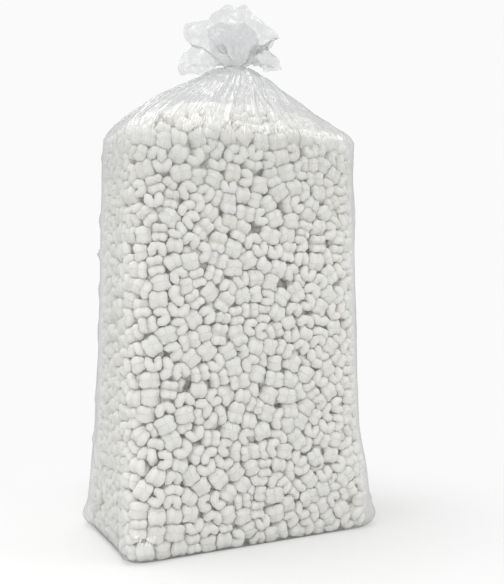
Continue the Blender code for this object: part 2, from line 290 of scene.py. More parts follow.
def mound_height(points):
    """Height of the heap's top above each point."""
    across = np.abs(points[:, 0] - NECK_SHIFT / 2) / (BAG_WIDTH / 2 * MOUND_SPREAD)
    deep = np.abs(points[:, 1]) / (BAG_DEPTH / 2 * MOUND_SPREAD)
    level = (across**MOUND_SQUARENESS + deep**MOUND_SQUARENESS) ** (1 / MOUND_SQUARENESS)
    share = np.clip(level, 0.0, 1.0)
    return MOUND_EDGE + (MOUND_TOP - MOUND_EDGE) * (1.0 - share**MOUND_FLATNESS)


def keep_in(points, radius, outer, inner, press=0.0):
    """The moves that bring balls back between two skins, outer and inner metres behind the film."""
    moves = np.zeros_like(points)
    out, away_x, away_y = wall_distance(points, radius + outer)
    out = out + SIDE_SLACK * smooth_step((np.abs(away_x) - 0.6) / 0.3)
    top = mound_height(points) - outer
    over = points[:, 2] - top + radius
    # Balls within the skin are pressed towards it, those outside are brought back.
    push = np.maximum(out, np.where(out > over, -press, -press / 4))
    push = np.where(out < -PRESS_REACH, 0.0, push)
    moves[:, 0] -= push * away_x
    moves[:, 1] -= push * away_y
    moves[:, 2] -= np.maximum(over, 0.0)
    floor_gap = points[:, 2] - radius - FILM_CLEARANCE
    moves[:, 2] -= np.where(floor_gap < FLOOR_REACH, np.minimum(floor_gap, press), 0.0)
    # Balls behind the inner skin come out by the shorter way, sideways or up.
    side, away_x, away_y = wall_distance(points, inner - radius)
    below = points[:, 2] - (top + outer - inner + radius)
    buried = (side < 0) & (below < 0)
    sideways = buried & (side > below)
    upwards = buried & ~sideways
    moves[sideways, 0] -= side[sideways] * away_x[sideways]
    moves[sideways, 1] -= side[sideways] * away_y[sideways]
    moves[upwards, 2] -= below[upwards]
    return moves


# %% Finding neighbours
def near_pairs(points, reach):
    """Every pair of points nearer than reach, found by sorting the points into cubic cells."""
    cells = np.floor(points / reach).astype(np.int64)
    cells -= cells.min(0)
    size = cells.max(0) + 3
    key = (cells[:, 0] * size[1] + cells[:, 1]) * size[2] + cells[:, 2]
    order = np.argsort(key, kind="stable")
    ordered = key[order]
    firsts, seconds = [], []
    for step in np.ndindex(3, 3, 3):
        shift = ((step[0] - 1) * size[1] + step[1] - 1) * size[2] + step[2] - 1
        if shift < 0:
            continue
        start = np.searchsorted(ordered, ordered + shift, "left")
        end = np.searchsorted(ordered, ordered + shift, "right")
        if shift == 0:
            start = np.arange(len(key)) + 1
        count = np.maximum(end - start, 0)
        who = np.repeat(np.arange(len(key)), count)
        within = np.arange(len(who)) - np.repeat(np.cumsum(count) - count, count)
        firsts.append(order[who])
        seconds.append(order[np.repeat(start, count) + within])
    first, second = np.concatenate(firsts), np.concatenate(seconds)
    near = ((points[first] - points[second]) ** 2).sum(1) < reach * reach
    return first[near], second[near]


# %% The relaxation
STATION_COUNT = 4  # balls along a curl; there are two such rows side by side
END_STATION = 0.30  # radians from a curl's end to its last ball
ROW_OFFSET = PEANUT_WIDTH / 2 - BALL_RADIUS
GIVE = 0.45  # share of an overlap by which each of the two balls moves away
OVERSHOOT = 1.5  # peanuts go further than their balls ask, which settles them sooner


def curl_balls(radius, degrees):
    end = math.radians(degrees) / 2 - END_STATION
    turns = np.repeat(np.linspace(-end, end, STATION_COUNT), 2)
    rows = np.tile([-ROW_OFFSET, ROW_OFFSET], STATION_COUNT)
    return np.stack([radius * np.cos(turns), radius * np.sin(turns), rows], axis=1)


def relax(local, centres, turns, steps, outer, inner, press):
    """Pushes the peanuts apart and back between the skins; returns their places, turns, squeeze."""
    count, balls = local.shape[:2]
    owner = np.repeat(np.arange(count), balls)
    middle = local.mean(1)
    for step in range(steps):
        points = (np.einsum("nij,nmj->nmi", turns, local) + centres[:, None]).reshape(-1, 3)
        if step % 4 == 0:
            first, second = near_pairs(points, 3 * BALL_RADIUS)
            other = owner[first] != owner[second]
            first, second = first[other], second[other]
        gap = points[first] - points[second]
        length = np.linalg.norm(gap, axis=1) + 1e-9
        overlap = np.maximum(2 * BALL_RADIUS - length, 0.0)
        push = gap * (GIVE * overlap / length)[:, None]
        moves = keep_in(points, BALL_RADIUS, outer, inner, press)
        for axis in range(3):
            moves[:, axis] += np.bincount(first, push[:, axis], len(points))
            moves[:, axis] -= np.bincount(second, push[:, axis], len(points))
        # The turn that fits a peanut's moved balls best comes from a singular value decomposition.
        target = (points + moves).reshape(count, balls, 3)
        new_middle = target.mean(1)
        spread = np.einsum(
            "nmi,nmj->nij", target - new_middle[:, None], local - middle[:, None]
        )
        left, _, right = np.linalg.svd(spread)
        left[:, :, 2] *= np.sign(np.linalg.det(left @ right))[:, None]
        turns = left @ right
        fitted = new_middle - np.einsum("nij,nj->ni", turns, middle)
        centres = centres + OVERSHOOT * (fitted - centres)
    squeeze = np.maximum(
        np.bincount(owner[first], overlap, count), np.bincount(owner[second], overlap, count)
    )
    print("mean overlap left:", round(1000 * float(overlap[overlap > 0].mean()), 2), "mm")
    return centres, turns, squeeze


# %% Start places and turns
START_LOW, START_HIGH = (-0.22, -0.125, 0.0), (0.22, 0.125, 0.71)
START_TRIES = 160000
# Shares of the peanuts that show a curled end, a ribbed back and a slit.
FACING_SHARES = (0.46, 0.30, 0.24)


def unit(vectors):
    return vectors / (np.linalg.norm(vectors, axis=1)[:, None] + 1e-12)


def scatter(rng, room_each, outer, inner):
    """Random places in the middle of a layer, one peanut for each room_each cubic metres."""
    tries = rng.uniform(START_LOW, START_HIGH, (START_TRIES, 3))
    fits = np.abs(keep_in(tries, 0.0, outer, inner)).max(1) == 0
    box = float(np.prod(np.subtract(START_HIGH, START_LOW)))
    count = int(fits.mean() * box / room_each)
    return tries[fits][:count]


def outward(points, outer):
    """The direction that faces the film, or up on the mound."""
    side, away_x, away_y = wall_distance(points, outer)
    below = points[:, 2] - mound_height(points) + outer
    up = np.clip((below - side) / 0.02 + 0.5, 0.0, 1.0)
    return unit(np.stack([away_x * (1 - up), away_y * (1 - up), up + 0.05], axis=1))


def turns_against_film(rng, normals, tilt):
    """Turns that lay a curled end, a ribbed back or a slit flat against the film."""
    count = len(normals)
    loose = unit(normals + tilt * rng.normal(size=(count, 3)))
    across = unit(np.cross(loose, rng.normal(size=(count, 3))))
    face = rng.choice(3, count, p=FACING_SHARES)
    axis = np.where((face == 0)[:, None], loose, across)
    back = np.where((face == 0)[:, None], across, loose * np.where(face == 2, -1.0, 1.0)[:, None])
    return np.stack([back, np.cross(axis, back), axis], axis=2)


# %% Pack the two layers
CURL_SHARES = (0.50, 0.32, 0.18)
HEAP_DEPTH = 0.056  # from the film to the back of the second layer
LAYERS = (
    # (room for each peanut, nearest and farthest from the film, tilt, relaxation steps, press)
    (19.3e-6, FILM_CLEARANCE, 0.0325, 0.24, 130, PRESS),
    (17.5e-6, 0.0190, HEAP_DEPTH, 1.50, 30, 0.0),
)
STEPS_TOGETHER = 50
# A peanut is drawn at its largest, less a share for each metre that its neighbours squeeze it.
LARGEST, SMALLEST, SHRINK = 1.10, 0.98, 7.0

rng = np.random.default_rng(3)
ball_sets = np.array([curl_balls(radius, degrees) for radius, degrees in CURLS])
places, turns, kinds, layers = [], [], [], []
for layer, (room_each, outer, inner, tilt, steps, press) in enumerate(LAYERS):
    start = scatter(rng, room_each, outer, inner)
    kind = rng.choice(3, len(start), p=CURL_SHARES)
    turned = turns_against_film(rng, outward(start, outer), tilt)
    # The balls' middle, and not the curl's axis, comes to the start place.
    start = start - np.einsum("nij,nj->ni", turned, ball_sets[kind].mean(1))
    steps = steps
    place, turned, _ = relax(ball_sets[kind], start, turned, steps, outer, inner, press)
    places.append(place)
    turns.append(turned)
    kinds.append(kind)
    layers.append(np.full(len(start), layer))
    print("layer", layer, "peanuts:", len(start))
places, turns = np.concatenate(places), np.concatenate(turns)
kinds, layers = np.concatenate(kinds), np.concatenate(layers)
# Both layers together: the inner one is pushed up into the gaps of the outer one.
steps = STEPS_TOGETHER
places, turns, squeeze = relax(
    ball_sets[kinds], places, turns, steps, FILM_CLEARANCE, HEAP_DEPTH, PRESS
)
sizes = np.clip(LARGEST - SHRINK * squeeze, SMALLEST, LARGEST)

# %% [markdown]
# ## The peanuts as pieces
#
# All copies of one side become one mesh, each copy with its own points, a little larger or smaller
# than the next and slightly uneven, as foam grains are. The copies are written straight into the mesh,
# because thousands of separate objects would be slow to move and to export.


# %% One mesh of many copies
SKIN = 0.0006  # from the film's inside to the foam that is pressed on it
UNEVENNESS = (0.95, 1.05)
MOST_BEND = 9.0  # radians per metre of a peanut's width


def press_flat(points):
    """Foam is soft: what would reach through the film or the floor is flattened against it."""
    out, away_x, away_y = wall_distance(points, SKIN)
    out = np.maximum(out, 0.0)
    points[:, 0] -= out * away_x
    points[:, 1] -= out * away_y
    points[:, 2] = np.maximum(points[:, 2], SKIN)
    return points


def scattered_mesh(name, chosen):
    points, faces, tints, places_on = [], [], [], []
    base = 0
    for k in chosen:
        shape, shape_faces = curl_meshes[kinds[k]]
        local = shape * sizes[k] * rng.uniform(*UNEVENNESS, 3)
        # Each is a little bent about its own axis.
        bend = local[:, 2] * rng.uniform(-MOST_BEND, MOST_BEND)
        bent = local.copy()
        bent[:, 0] = local[:, 0] * np.cos(bend) - local[:, 1] * np.sin(bend)
        bent[:, 1] = local[:, 0] * np.sin(bend) + local[:, 1] * np.cos(bend)
        points.append(press_flat(bent @ turns[k].T + places[k]))
        # Where each point is on its own peanut: along the curl, and across it, in metres.
        along = np.arctan2(shape[:, 1], shape[:, 0]) * np.hypot(shape[:, 0], shape[:, 1])
        places_on.append(np.stack([along, shape[:, 2], np.zeros(len(shape))], axis=1))
        faces += [tuple(base + v for v in face) for face in shape_faces]
        tints += [float(rng.uniform())] * len(shape)
        base += len(shape)
    mesh = bpy.data.meshes.new(name)
    mesh.from_pydata(np.concatenate(points).tolist(), [], faces)
    mesh.attributes.new("tint", "FLOAT", "POINT").data.foreach_set("value", tints)
    on_curl = mesh.attributes.new("on_curl", "FLOAT_VECTOR", "POINT")
    on_curl.data.foreach_set("vector", np.concatenate(places_on).astype(np.float32).ravel())
    mesh.shade_smooth()
    piece = bpy.data.objects.new(name, mesh)
    bpy.context.scene.collection.objects.link(piece)
    return piece


# %% The peanuts of the mound and of the four walls
TOP_DEPTHS = (0.034, 0.062)  # how deep under the mound's top each layer still belongs to it
BROAD_WALL = 0.7  # least share of a peanut's outward direction that faces the front or back

middles = places + np.einsum("nij,nj->ni", turns, ball_sets[kinds].mean(1))
_, toward_x, toward_y = wall_distance(middles, 0.0)
on_top = middles[:, 2] > mound_height(middles) - np.array(TOP_DEPTHS)[layers]
on_side = ~on_top & (np.abs(toward_y) <= BROAD_WALL)
foam_pieces = []
for name, chosen in (
    ("foam_top", on_top),
    ("foam_front", ~on_top & (toward_y < -BROAD_WALL)),
    ("foam_back", ~on_top & (toward_y > BROAD_WALL)),
    ("foam_left", on_side & (toward_x < 0)),
    ("foam_right", on_side & (toward_x >= 0)),
):
    piece = scattered_mesh(name, np.flatnonzero(chosen))
    foam_pieces.append(piece)
    print(name, int(chosen.sum()), "peanuts,", count_triangles(piece), "triangles")

# %% [markdown]
# ## A rolled sheet
#
# Bag film is blown as a tube and wound flat. A flat grid is the same start: it is rolled up by code
# that gives every point its place round the bag and up it, and its two long edges are merged. The
# same helper makes the film and the hidden core of the heap.


# %% Roll a grid into a tube
def make_rolled(name, columns, rows, place):
    """A grid rolled into a tube; place(round, up) gives the points, with both shares from 0 to 1."""
    deselect_all()
    bpy.ops.mesh.primitive_grid_add(x_subdivisions=columns, y_subdivisions=rows, size=1.0)
    piece = bpy.context.object
    piece.name = name
    piece.data.name = name
    flat = np.array([vert.co for vert in piece.data.vertices])
    rolled = place(flat[:, 0] + 0.5, flat[:, 1] + 0.5)
    piece.data.vertices.foreach_set("co", rolled.astype(np.float32).ravel())
    piece.data.update()
    bpy.ops.object.mode_set(mode="EDIT")
    bpy.ops.mesh.select_all(action="SELECT")
    bpy.ops.mesh.remove_doubles(threshold=0.00001)
    bpy.ops.mesh.select_all(action="DESELECT")
    bpy.ops.object.mode_set(mode="OBJECT")
    return piece


OUTLINE_STEPS = 2049


def outline_points(around, heights, inset=0.0):
    """Points of the bag's outline, evenly spaced round it, for shares round and heights."""
    angle = np.linspace(0.0, math.tau, OUTLINE_STEPS)
    points = np.zeros((len(around), 3))
    for height in np.unique(heights):
        half_width, half_depth, power = half_sizes(height)
        x = (half_width - inset) * np.sign(np.cos(angle)) * np.abs(np.cos(angle)) ** (2 / power)
        y = (half_depth - inset) * np.sign(np.sin(angle)) * np.abs(np.sin(angle)) ** (2 / power)
        walked = np.concatenate([[0.0], np.cumsum(np.hypot(np.diff(x), np.diff(y)))])
        here = heights == height
        stops = (around[here] % 1.0) * walked[-1]
        points[here, 0] = np.interp(stops, walked, x)
        points[here, 1] = np.interp(stops, walked, y)
        points[here, 2] = height
    return points


# %% [markdown]
# ## The heap's core
#
# Behind the two layers of single peanuts there are more peanuts that are never seen. One closed form
# stands for them, so that nobody looks through the heap.


# %% Core
CORE_INSET = 0.045
CORE_COLUMNS, CORE_ROWS = 64, 40
CORE_BOTTOM = 0.004


def core_place(around, up):
    core_height = MOUND_EDGE - CORE_INSET - CORE_BOTTOM
    heights = CORE_BOTTOM + np.round(up * CORE_ROWS) / CORE_ROWS * core_height
    return outline_points(around, heights, CORE_INSET)


core = make_rolled("foam_core", CORE_COLUMNS, CORE_ROWS, core_place)
bpy.ops.object.mode_set(mode="EDIT")
bpy.ops.mesh.select_mode(type="EDGE")
bpy.ops.mesh.select_non_manifold()
bpy.ops.mesh.edge_face_add()
bpy.ops.mesh.select_all(action="SELECT")
bpy.ops.mesh.normals_make_consistent(inside=False)
bpy.ops.object.mode_set(mode="OBJECT")
foam_pieces.append(core)
print("core:", count_triangles(core), "triangles")

# %% [markdown]
# ## The film
#
# One sheet of thin clear film goes all the way: flat under the foot, up the four walls, gathered over
# the heap, squeezed through the neck and spread above it. A cloth simulation could gather it, but the
# neck takes in seventeen times its width, which tangles. Here the rolled sheet gets its folds by code:
# ridges that run down from the neck, each with its own reach, slack wrinkles on the walls, and folded
# corners at the foot.

# %% Gathers that run down from the neck
FILM_COLUMNS = 368
BODY_STEPS, ROOF_STEPS, CROWN_STEPS = 110, 84, 66
FILM_ROWS = BODY_STEPS + ROOF_STEPS + CROWN_STEPS
RIDGE_RISE = 0.0070
RIDGE_FADE = 0.72  # share of that rise which is lost on the way from the roof's middle to the neck
RIDGE_WIDENING = 1.4  # how much wider ridges are at the shoulder than at the neck
RIDGE_SHARPNESS = 1.4  # exponent of a ridge's section; 2 is a bell
RIDGES = 64
fold_rng = np.random.default_rng(11)
ridge_places = (np.arange(RIDGES) + fold_rng.uniform(-0.34, 0.34, RIDGES)) / RIDGES
ridge_heights = fold_rng.uniform(0.30, 1.0, RIDGES)
ridge_widths = fold_rng.uniform(0.0018, 0.0048, RIDGES)
ridge_leans = fold_rng.uniform(-0.012, 0.012, RIDGES)
# Where each ridge ends below: high on the roof, at the shoulder, or some way down the wall.
ridge_feet = SHOULDER_HEIGHT + ROOF_HEIGHT * fold_rng.choice(
    (0.40, 0.05, -0.45, -1.6), RIDGES, p=(0.25, 0.35, 0.27, 0.13)
)


def way_round(height):
    """Length of the outline at a height, near enough for the width of a fold."""
    half_width, half_depth, power = half_sizes(height)
    return (half_width + half_depth) * (3.3 + 0.5 * (power - 2.0) / 3.0)


def round_off(around, place):
    """Signed share of the way round from a place."""
    return (around - place + 0.5) % 1.0 - 0.5


# The few long folds that catch the light: (share round at the shoulder, change of it up to the
# neck, share of the roof at which it begins, rise).
STREAKS = (
    (0.600, 0.000, 0.10, 0.0045),
    (0.660, 0.010, 0.05, 0.0045),
    (0.705, 0.000, -0.14, 0.0060),
    (0.750, 0.000, 0.16, 0.0050),
    (0.806, -0.070, -0.12, 0.0060),
    (0.858, -0.020, 0.05, 0.0040),
)
STREAK_WIDTH, STREAK_NARROWING = 0.0044, 0.0022  # at the shoulder, and less at the neck


def ridge_push(around, height):
    """How far the gathers lift the film outwards."""
    total = np.zeros_like(around)
    girth = way_round(height)
    share = roof_share(height)
    on_roof = np.clip(share, 0, 1)
    fade_up = 1.0 - RIDGE_FADE * smooth_step((share - 0.5) / 0.5)
    widen = 1.0 + RIDGE_WIDENING * (1.0 - on_roof)
    for k in range(RIDGES):
        place = ridge_places[k] + ridge_leans[k] * (1.0 - on_roof)
        narrow = np.minimum(ridge_widths[k] * widen, 0.34 * girth / RIDGES)
        off = np.abs(round_off(around, place)) * girth
        grown = smooth_step((height - ridge_feet[k]) / (0.50 * ROOF_HEIGHT))
        total += ridge_heights[k] * grown * np.exp(-((off / narrow) ** RIDGE_SHARPNESS))
    for place, lean, foot, rise in STREAKS:
        off = np.abs(round_off(around, place + lean * share)) * girth
        grown = smooth_step((share - foot) / 0.16)
        narrow = STREAK_WIDTH - STREAK_NARROWING * on_roof
        total += rise / RIDGE_RISE * grown * np.exp(-((off / narrow) ** RIDGE_SHARPNESS))
    return RIDGE_RISE * fade_up * total


# %% Slack wrinkles
GIRTH = 1.29  # metres round the walls
FOLD_WIDTH = 0.0042
WRINKLES = 26
WRINKLE_GIRTH = 1.2  # their drift round the bag is drawn a little tighter than the walls
wrinkle_places = fold_rng.uniform(0.0, 1.0, WRINKLES)
wrinkle_middles = fold_rng.uniform(0.06, 0.60, WRINKLES)
wrinkle_lengths = fold_rng.uniform(0.03, 0.13, WRINKLES)
wrinkle_rises = fold_rng.uniform(0.0008, 0.0024, WRINKLES)
wrinkle_leans = fold_rng.uniform(-0.08, 0.08, WRINKLES)
# Slack folds that run down the left side and out of the foot's corners: (share round, height,
# degrees below level, half length, rise).
SIDE_FOLDS = (
    (0.420, 0.622, 26, 0.034, 0.0030),
    (0.432, 0.515, 37, 0.046, 0.0032),
    (0.436, 0.455, 14, 0.050, 0.0052),
    (0.426, 0.405, 38, 0.034, 0.0034),
    (0.440, 0.330, 48, 0.040, 0.0024),
    (0.428, 0.235, 44, 0.034, 0.0028),
    (0.446, 0.140, 58, 0.040, 0.0026),
    (0.560, 0.560, 62, 0.030, 0.0020),
    (0.925, 0.520, 80, 0.050, 0.0026),
    (0.918, 0.360, 84, 0.060, 0.0022),
    (0.905, 0.600, 118, 0.040, 0.0026),
    (0.584, 0.048, -24, 0.026, 0.0030),
    (0.600, 0.030, 34, 0.022, 0.0026),
    (0.574, 0.080, 62, 0.030, 0.0024),
    (0.912, 0.050, 30, 0.026, 0.0026),
    (0.900, 0.085, -52, 0.030, 0.0022),
)


def fold(across, down, half_length, rise):
    return rise * np.exp(-((across / FOLD_WIDTH) ** 2) - (down / half_length) ** 2)


def wrinkle_push(around, height):
    """Short slack wrinkles that run nearly upright on the walls, and slanting ones at the side."""
    total = np.zeros_like(around)
    for k in range(WRINKLES):
        up = height - wrinkle_middles[k]
        off = round_off(around, wrinkle_places[k]) * WRINKLE_GIRTH - wrinkle_leans[k] * up
        total += fold(off, up, wrinkle_lengths[k], wrinkle_rises[k])
    for place, middle, degrees, half_length, rise in SIDE_FOLDS:
        slant = math.radians(degrees)
        off = round_off(around, place) * GIRTH
        up = height - middle
        down = off * math.cos(slant) - up * math.sin(slant)
        total += fold(off * math.sin(slant) + up * math.cos(slant), down, half_length, rise)
    return total


# %% Roof and foot
ROOF_SAG, RIGHT_SAG = 0.006, 0.010  # all over the roof, and more towards its right
RIGHT_PLACE, RIGHT_SPREAD = 0.95, 0.13  # shares round
EAR_HEIGHT, EAR_SPREAD = 0.030, 0.028  # shares of the shoulder height


def roof_sag(around, height):
    """How far the roof hangs below the outline, so that it runs straight from neck to shoulder."""
    share = roof_share(height)
    hump = smooth_step(share / 0.45) * (1.0 - smooth_step((share - 0.72) / 0.28))
    right = np.exp(-((round_off(around, RIGHT_PLACE) / RIGHT_SPREAD) ** 2))
    return hump * (ROOF_SAG + RIGHT_SAG * right)


def cornerness(points):
    """Near 1 in the bag's corners, and 0 in the middle of its walls."""
    return np.abs(points[:, 0] / BAG_WIDTH * 2) * np.abs(points[:, 1] / BAG_DEPTH * 2)


def ear_push(points):
    """How far the folded gusset corners stick out at the foot."""
    near = smooth_step((cornerness(points) - 0.62) / 0.18)
    level = (points[:, 2] / SHOULDER_HEIGHT - EAR_HEIGHT) / EAR_SPREAD
    return EAR_REACH * near * np.exp(-level * level)


# %% [markdown]
# ## The crown
#
# Above the neck the free end of the bag's tube springs open. On the real bag its mouth wanders: it
# droops in two ruffles to the sides, and stands up in two peaks at the back and lower in front. A fan
# of plain pleats would look like a paper cake case, so the mouth's line is listed point by point, the
# sheet runs from the neck to that line, and pleats of uneven width sway on it.

# %% The crown's rim
# The crown's rim, in millimetres from the neck: to the right, towards the viewer, and up, as seen
# from the bag's front left. It goes round by way of the back, the left and the front.
CROWN_RIM = (
    (81, 14, -7), (78, 12, 6), (70, 10, 18), (58, 10, 27), (46, 8, 30), (40, -2, 29), (46, -12, 34),
    (60, -14, 41), (73, -14, 50), (74, -14, 60), (62, -18, 73), (48, -20, 84), (31, -24, 99),
    (16, -26, 119), (5, -18, 107), (-10, -24, 119), (-25, -28, 105), (-39, -20, 97), (-46, -18, 87),
    (-68, -16, 85), (-87, -8, 76), (-84, -2, 62), (-77, 2, 46), (-70, 4, 31), (-84, 8, 21),
    (-92, 14, -3), (-89, 20, -15), (-78, 28, -20), (-62, 36, -19), (-46, 42, -19), (-34, 44, -17),
    (-30, 43, -4), (-37, 38, 16), (-46, 34, 36), (-42, 30, 58), (-24, 28, 72), (-2, 28, 64),
    (16, 28, 72), (36, 30, 58), (46, 34, 36), (36, 40, 8), (44, 36, -10), (62, 26, -14),
)
CROWN_ARCH = 0.007  # how far the low ruffles rise before they droop
DROOP_BELOW = 0.070  # rim points lower than this over the neck droop
CROWN_PLEATS = 13
PLEAT_SWAY = 0.0050
VIEW_TURN = math.radians(-26.4)  # of the rim's right-hand direction, from +X
# Three places near by are averaged, which rounds off the corners of the rim.
RIM_BLEND = ((-0.45, 0.25), (0.0, 0.5), (0.45, 0.25))
crown_phase = fold_rng.uniform(0.0, math.tau, 6)


def rim_points(around):
    """Points of the rim for shares round, right, front and up from the neck, in metres."""
    rim = np.array(CROWN_RIM + CROWN_RIM[:1]) / 1000
    edge = np.zeros((len(around), 3))
    for shift, weight in RIM_BLEND:
        place = ((around - VIEW_TURN / math.tau) * (len(rim) - 1) + shift) % (len(rim) - 1)
        low = np.minimum(np.floor(place).astype(int), len(rim) - 2)
        blend = (place - low)[:, None]
        edge += weight * (rim[low] * (1.0 - blend) + rim[low + 1] * blend)
    return edge


# %% The crown's sheet
def crown_points(around, share):
    """The crown's film, share 0 at the neck and 1 at the rim."""
    turn = around * math.tau
    edge = rim_points(around)
    droop = smooth_step((DROOP_BELOW - edge[:, 2]) / DROOP_BELOW)
    away = smooth_step(share) * 0.45 + share * 0.55
    round_neck = NECK_RADIUS * np.stack(
        [np.cos(turn - VIEW_TURN), -np.sin(turn - VIEW_TURN), np.zeros(len(turn))], axis=1
    )
    local = round_neck * (1.0 - away)[:, None] + edge * away[:, None]
    local[:, 2] += (CROWN_ARCH * droop + 0.004) * np.sin(math.pi * share) ** 0.8
    # Pleats of uneven width sway to both sides: their phase runs faster and slower on its way round.
    phase = CROWN_PLEATS * turn + 1.6 * np.sin(3 * turn + crown_phase[0])
    phase += 1.2 * np.sin(5 * turn + crown_phase[1]) + 1.5 * share * np.sin(2 * turn)
    sway = PLEAT_SWAY * smooth_step(1.4 * share) * np.sin(phase)
    sway *= 0.65 + 0.35 * np.sin(4 * turn + crown_phase[2])
    length = np.linalg.norm(edge, axis=1)
    along = edge / length[:, None]
    beside = np.stack([along[:, 1], -along[:, 0], np.zeros(len(turn))], axis=1)
    across = np.cross(along, unit(beside))
    local += across * sway[:, None]
    right = np.array((math.cos(VIEW_TURN), math.sin(VIEW_TURN)))
    front = np.array((math.sin(VIEW_TURN), -math.cos(VIEW_TURN)))
    flat = local[:, :1] * right + local[:, 1:2] * front
    return np.stack(
        [NECK_SHIFT + flat[:, 0], flat[:, 1], NECK_HEIGHT + local[:, 2]], axis=1
    )


# %% Place every point of the film
def film_place(around, up):
    row = np.round(up * FILM_ROWS)
    points = np.zeros((len(around), 3))
    body = row <= BODY_STEPS + ROOF_STEPS
    heights = np.where(
        row <= BODY_STEPS,
        row / BODY_STEPS * SHOULDER_HEIGHT,
        SHOULDER_HEIGHT + (row - BODY_STEPS) / ROOF_STEPS * ROOF_HEIGHT,
    )
    flat = outline_points(around[body], heights[body])
    away = flat[:, :2] / np.linalg.norm(flat[:, :2], axis=1)[:, None]
    push = ear_push(flat) + ridge_push(around[body], heights[body])
    push += wrinkle_push(around[body], heights[body])
    flat[:, :2] += away * push[:, None]
    flat[:, 0] += NECK_SHIFT * smooth_step(roof_share(flat[:, 2]))
    flat[:, 2] -= roof_sag(around[body], heights[body])
    points[body] = flat
    crown = ~body
    share = (row[crown] - BODY_STEPS - ROOF_STEPS) / CROWN_STEPS
    points[crown] = crown_points(around[crown], share)
    return points


film = make_rolled("film_bag", FILM_COLUMNS, FILM_ROWS, film_place)
bpy.ops.object.mode_set(mode="EDIT")
pick(film, "VERT", lambda vert: vert.co.z < 0.0001)
bpy.ops.mesh.edge_face_add()
bpy.ops.mesh.select_all(action="SELECT")
bpy.ops.mesh.normals_make_consistent(inside=False)
bpy.ops.object.mode_set(mode="OBJECT")
# The operator takes the open crown's side for the outside, so the foot tells which way is out.
lowest = min(film.data.polygons, key=lambda face: face.center.z)
if lowest.normal.z > 0:
    film.data.flip_normals()
print("the foot's normal:", round(lowest.normal.z, 2))

# %% [markdown]
# ## Crumples
#
# Film that has been handled keeps small sharp creases. A ridged noise, which is folded over at its
# middle value, has such creases; it moves the points along their normals, strongly in the crown, a
# little on the roof, and by less than a millimetre on the walls, where the peanuts stretch the film.


# %% Crumple the film
# Each row is (rise, size of the creases), in metres.
CROWN_CREASES, CROWN_FINE_CREASES = (0.0080, 0.040), (0.0030, 0.015)
ROOF_CREASES, WALL_CREASES = (0.0009, 0.022), (0.0005, 0.030)
CROWN_SINK = 0.0052  # brings the crushed crown back to where it was on the whole


def ridged(points, size, seed):
    """Noise that is 1 on sharp crests and falls off to about 0 between them, this size apart."""
    shift = Vector((seed * 17.3, seed * 5.1, seed * 9.7))
    return np.array([1.0 - 2.0 * abs(noise.noise(Vector(p) / size + shift)) for p in points])


points = np.array([vert.co for vert in film.data.vertices])
normals = np.array([vert.normal for vert in film.data.vertices])
from_neck = np.hypot(points[:, 0] - NECK_SHIFT, points[:, 1])
over_neck = points[:, 2] - NECK_HEIGHT
crown_weight = smooth_step((from_neck - 0.014) / 0.03) * smooth_step((over_neck + 0.030) / 0.02)
crown_weight = np.maximum(crown_weight, smooth_step((over_neck - 0.004) / 0.03))
roof_weight = smooth_step(roof_share(points[:, 2]) * 3.0 + 0.4) * (1.0 - crown_weight)
wall_weight = (1.0 - crown_weight) * smooth_step(points[:, 2] / 0.02)
crushed = CROWN_CREASES[0] * ridged(points, CROWN_CREASES[1], 1)
crushed += CROWN_FINE_CREASES[0] * ridged(points, CROWN_FINE_CREASES[1], 2)
move = crown_weight * (crushed - CROWN_SINK)
# On the roof and walls the film can only stand off the peanuts, so these two never go inwards.
move += roof_weight * ROOF_CREASES[0] * (1.0 + ridged(points, ROOF_CREASES[1], 3))
# The creases of the walls are longer than wide.
upright = points * (1, 1, 0.6)
move += wall_weight * WALL_CREASES[0] * (1.0 + ridged(upright, WALL_CREASES[1], 4))
points += normals * move[:, None]
film.data.vertices.foreach_set("co", points.astype(np.float32).ravel())

# %% What the film's material needs to know
# How milky the film is, and how much it shines, on the walls, and what the rest adds to it.
WALL_MILK, ROOF_MILK, CROWN_MILK, SLACK_CLEARNESS = 0.19, 0.17, 0.06, 0.05
WALL_SHINE, ROOF_SHINE, FOOT_SHINE, SLACK_SHINE = 0.06, 0.94, 1.40, 0.34
gathered = smooth_step((points[:, 2] - 0.44) / 0.24)
# The left side is slack, so more of its film stands off the peanuts and shines.
slack = smooth_step((-points[:, 0] - 0.165) / 0.030) * (1.0 - gathered)
foot_weight = smooth_step((0.075 - points[:, 2]) / 0.05)
foot_weight *= smooth_step((cornerness(points) - 0.45) / 0.3)
roof_shine = smooth_step((points[:, 2] - 0.57) / 0.08) * (1.0 - 0.65 * crown_weight)
gather = WALL_SHINE + ROOF_SHINE * roof_shine + FOOT_SHINE * foot_weight + SLACK_SHINE * slack
milk = WALL_MILK + ROOF_MILK * gathered + CROWN_MILK * crown_weight - SLACK_CLEARNESS * slack
for name, values in (("milk", milk), ("crumple", crown_weight), ("gather", gather)):
    film.data.attributes.new(name, "FLOAT", "POINT").data.foreach_set("value", values)
film.data.update()
deselect_all()
film.select_set(True)
bpy.context.view_layer.objects.active = film
bpy.ops.object.shade_smooth()
print("film:", count_triangles(film), "triangles")

# %% Measure the sheet
bm = bmesh.new()
bm.from_mesh(film.data)
rim_length = sum(edge.calc_length() for edge in bm.edges if edge.is_boundary)
surface = sum(face.calc_area() for face in bm.faces)
bm.free()
print("rim of the film:", round(rim_length, 3), "m, surface:", round(surface, 3), "m2")

# %% [markdown]
# ## Foam material
#
# Packing peanuts are extruded starch or polystyrene foam: matt, off-white, finely pitted by their
# beads, and soft in their shadows, because light goes a centimetre deep. White paint would make hard
# grey gaps, so all of the colour is subsurface light; pits and grooves are bump.


